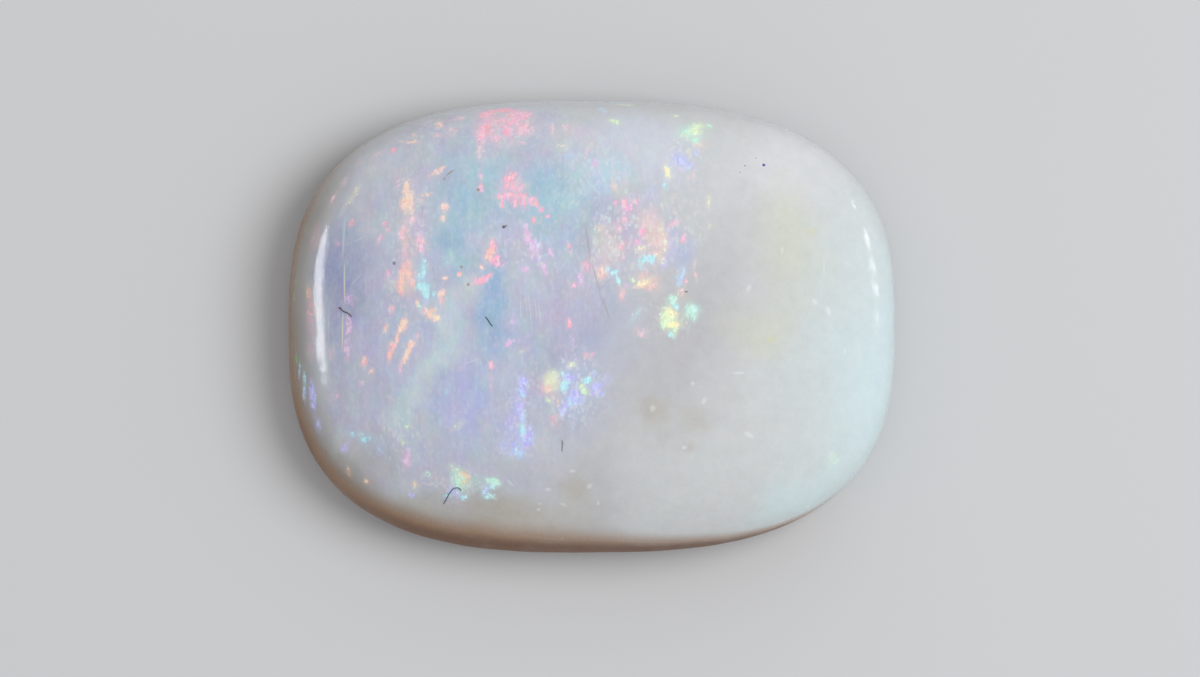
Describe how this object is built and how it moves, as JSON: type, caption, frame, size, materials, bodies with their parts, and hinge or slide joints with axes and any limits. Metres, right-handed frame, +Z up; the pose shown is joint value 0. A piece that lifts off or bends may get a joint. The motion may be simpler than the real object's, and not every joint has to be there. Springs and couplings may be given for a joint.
{
  "type": "polished opal cabochon",
  "caption": "Cushion-shaped milky opal cabochon with a low polished dome, a flat back to rest or set on, and patches of play-of-colour.",
  "frame": {"origin": "middle of the flat back, which the stone rests on", "axes": "+X along the length of the cushion, towards its plain white end; +Y across it; +Z up through the dome"},
  "size_m": [0.016, 0.012, 0.0044],
  "materials": {
    "milky_opal": "polished milky opal: white potch on one side, pastel blue and lavender with pink, peach, aqua, lime and violet flecks on the other, brown host stain low on the edge and, as a guess, on the back"
  },
  "bodies": {
    "root": {"opal_cabochon": "milky_opal"}
  },
  "joints": []
}
